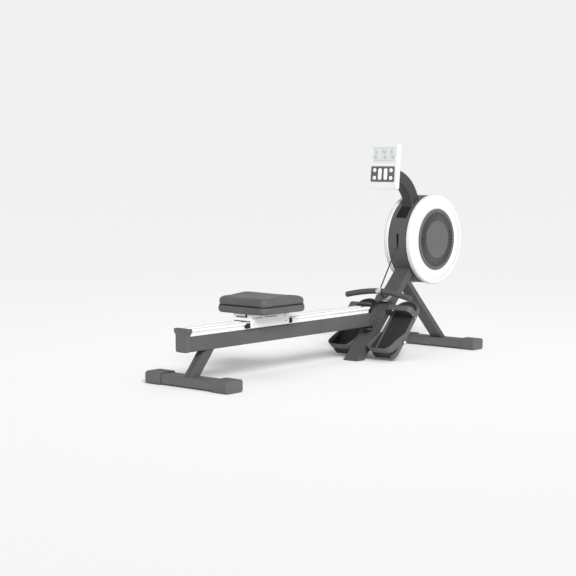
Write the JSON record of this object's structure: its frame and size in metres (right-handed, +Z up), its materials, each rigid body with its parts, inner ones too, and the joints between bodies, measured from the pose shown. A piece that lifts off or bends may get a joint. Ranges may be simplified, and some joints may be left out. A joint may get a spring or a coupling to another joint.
{
  "type": "rowing machine",
  "caption": "Folding rowing machine: a rolling seat on a sloped-post rail, foot rests with heel cups, a strap handle and a round flywheel drum with a tilting console.",
  "frame": {"origin": "on the floor, under the middle of the machine's length and width", "axes": "+X from the rear foot towards the drum, the way the rower faces; +Y to the rower's left; +Z up"},
  "size_m": [2.1, 0.514, 1.1121],
  "materials": {
    "frame_paint": "satin grey powder coat",
    "moulded_grey": "fine matt moulding grain",
    "white_plastic": "semi-gloss white",
    "grille_grey": "matt dark grey",
    "cap_grey": "satin mid grey",
    "black_rubber": "matt black",
    "seat_grey": "soft matt dark grey skin over foam",
    "track_aluminium": "light satin",
    "bright_steel": "bright",
    "webbing": "woven, black",
    "lens": "clear display window",
    "cast_iron": "raw dark"
  },
  "bodies": {
    "frame": {"front_stabiliser": "frame_paint", "front_foot_cap_left": "moulded_grey", "front_foot_cap_right": "moulded_grey", "main_post": "frame_paint", "front_leg": "frame_paint", "rail_bracket": "frame_paint", "fold_pin": "bright_steel", "pedal_axle": "bright_steel", "handle_holder": "bright_steel", "drum_band": "moulded_grey", "disc_left": "white_plastic", "disc_right": "white_plastic", "grille_left": "grille_grey", "grille_right": "grille_grey", "hub_cap_left": "cap_grey", "hub_cap_right": "cap_grey", "console_arm": "moulded_grey", "console_pin": "bright_steel", "axle_yoke": "frame_paint", "drum_axle": "bright_steel", "brake_magnet": "cast_iron"},
    "wheel_left": {"transport_wheel_left": "black_rubber"},
    "wheel_right": {"transport_wheel_right": "black_rubber"},
    "rail": {"rail_tube": "frame_paint", "rail_track": "track_aluminium", "rail_stop": "black_rubber", "rail_end_cap": "moulded_grey", "rear_leg": "frame_paint", "rear_stabiliser": "frame_paint", "rear_foot_cap_left": "moulded_grey", "rear_foot_cap_right": "moulded_grey"},
    "lock_knob": {"fold_lock_knob": "black_rubber"},
    "seat": {"carriage": "track_aluminium", "roller_axle_front": "bright_steel", "roller_axle_rear": "bright_steel", "seat_base": "seat_grey", "seat_cushion": "seat_grey"},
    "roller_front_left": {"roller_front_left": "black_rubber"},
    "roller_front_right": {"roller_front_right": "black_rubber"},
    "roller_rear_left": {"roller_rear_left": "black_rubber"},
    "roller_rear_right": {"roller_rear_right": "black_rubber"},
    "pedal_left": {"pedal_left": "moulded_grey", "toe_strap_left": "moulded_grey"},
    "pedal_right": {"pedal_right": "moulded_grey", "toe_strap_right": "moulded_grey"},
    "strap": {"pull_strap": "webbing"},
    "handle": {"handle_bar": "bright_steel", "grip_left": "black_rubber", "grip_right": "black_rubber"},
    "flywheel": {"flywheel": "cast_iron"},
    "spool": {"strap_spool": "moulded_grey"},
    "console": {"console_back": "white_plastic", "console_front": "white_plastic", "display_lens": "lens"},
    "button_upper_left": {"button_upper_left": "white_plastic"},
    "button_upper_right": {"button_upper_right": "white_plastic"},
    "button_lower_left": {"button_lower_left": "white_plastic"},
    "button_lower_right": {"button_lower_right": "white_plastic"},
    "button_long_left": {"button_long_left": "white_plastic"},
    "button_long_right": {"button_long_right": "white_plastic"}
  },
  "joints": [
    {"name": "rail_fold", "type": "hinge", "parent": "frame", "child": "rail", "pos_m": [0.315, 0, 0.203], "axis": [0, -1, 0], "range_deg": [-75, 0]},
    {"name": "fold_lock_pull", "type": "slide", "parent": "frame", "child": "lock_knob", "axis": [0, 1, 0], "range_m": [0, 0.01], "stiffness_N_per_m": 400, "springref_m": -0.004},
    {"name": "seat_slide", "type": "slide", "parent": "rail", "child": "seat", "axis": [1, 0, 0], "range_m": [-0.35, 0.6]},
    {"name": "roller_front_left_spin", "type": "hinge", "parent": "seat", "child": "roller_front_left", "pos_m": [-0.3955, 0, 0.2853], "axis": [0, 1, 0], "range_deg": [-1700, 2800]},
    {"name": "roller_front_right_spin", "type": "hinge", "parent": "seat", "child": "roller_front_right", "pos_m": [-0.3955, 0, 0.2853], "axis": [0, 1, 0], "range_deg": [-1700, 2800]},
    {"name": "roller_rear_left_spin", "type": "hinge", "parent": "seat", "child": "roller_rear_left", "pos_m": [-0.6195, 0, 0.2853], "axis": [0, 1, 0], "range_deg": [-1700, 2800]},
    {"name": "roller_rear_right_spin", "type": "hinge", "parent": "seat", "child": "roller_rear_right", "pos_m": [-0.6195, 0, 0.2853], "axis": [0, 1, 0], "range_deg": [-1700, 2800]},
    {"name": "pedal_left_tilt", "type": "hinge", "parent": "frame", "child": "pedal_left", "pos_m": [0.35712, 0, 0.0921], "axis": [0, 1, 0], "range_deg": [0, 25]},
    {"name": "pedal_right_tilt", "type": "hinge", "parent": "frame", "child": "pedal_right", "pos_m": [0.35712, 0, 0.0921], "axis": [0, 1, 0], "range_deg": [0, 25]},
    {"name": "handle_lift", "type": "hinge", "parent": "frame", "child": "strap", "pos_m": [0.5705, 0, 0.566], "axis": [0, 1, 0], "range_deg": [0, 60]},
    {"name": "handle_pull", "type": "slide", "parent": "strap", "child": "handle", "axis": [-0.5611, 0, -0.8278], "range_m": [0, 0.301], "deforming": ["pull_strap"]},
    {"name": "spool_spin", "type": "hinge", "parent": "frame", "child": "spool", "pos_m": [0.809, 0, 0.598], "axis": [0, 1, 0], "range_deg": [0, 432]},
    {"name": "flywheel_spin", "type": "hinge", "parent": "frame", "child": "flywheel", "pos_m": [0.809, 0, 0.598], "axis": [0, 1, 0], "continuous": true},
    {"name": "console_tilt", "type": "hinge", "parent": "frame", "child": "console", "pos_m": [0.515, 0, 0.9425], "axis": [0, 1, 0], "range_deg": [-10, 15]},
    {"name": "transport_wheel_left_spin", "type": "hinge", "parent": "frame", "child": "wheel_left", "pos_m": [1.032, 0, 0.024], "axis": [0, 1, 0], "continuous": true},
    {"name": "transport_wheel_right_spin", "type": "hinge", "parent": "frame", "child": "wheel_right", "pos_m": [1.032, 0, 0.024], "axis": [0, 1, 0], "continuous": true},
    {"name": "button_upper_left_press", "type": "slide", "parent": "console", "child": "button_upper_left", "axis": [0.9962, 0, -0.0872], "range_m": [0, 0.0012], "stiffness_N_per_m": 300, "springref_m": -0.0015},
    {"name": "button_upper_right_press", "type": "slide", "parent": "console", "child": "button_upper_right", "axis": [0.9962, 0, -0.0872], "range_m": [0, 0.0012], "stiffness_N_per_m": 300, "springref_m": -0.0015},
    {"name": "button_lower_left_press", "type": "slide", "parent": "console", "child": "button_lower_left", "axis": [0.9962, 0, -0.0872], "range_m": [0, 0.0012], "stiffness_N_per_m": 300, "springref_m": -0.0015},
    {"name": "button_lower_right_press", "type": "slide", "parent": "console", "child": "button_lower_right", "axis": [0.9962, 0, -0.0872], "range_m": [0, 0.0012], "stiffness_N_per_m": 300, "springref_m": -0.0015},
    {"name": "button_long_left_press", "type": "slide", "parent": "console", "child": "button_long_left", "axis": [0.9962, 0, -0.0872], "range_m": [0, 0.0012], "stiffness_N_per_m": 300, "springref_m": -0.0015},
    {"name": "button_long_right_press", "type": "slide", "parent": "console", "child": "button_long_right", "axis": [0.9962, 0, -0.0872], "range_m": [0, 0.0012], "stiffness_N_per_m": 300, "springref_m": -0.0015}
  ],
  "couplings": [
    {"joint": "roller_front_left_spin", "follows": "seat_slide", "rad_per_m": 76.923},
    {"joint": "roller_front_right_spin", "follows": "seat_slide", "rad_per_m": 76.923},
    {"joint": "roller_rear_left_spin", "follows": "seat_slide", "rad_per_m": 76.923},
    {"joint": "roller_rear_right_spin", "follows": "seat_slide", "rad_per_m": 76.923},
    {"joint": "handle_pull", "follows": "handle_lift", "m_per_rad": 0.2865},
    {"joint": "spool_spin", "follows": "handle_lift", "ratio": 7.1625}
  ]
}
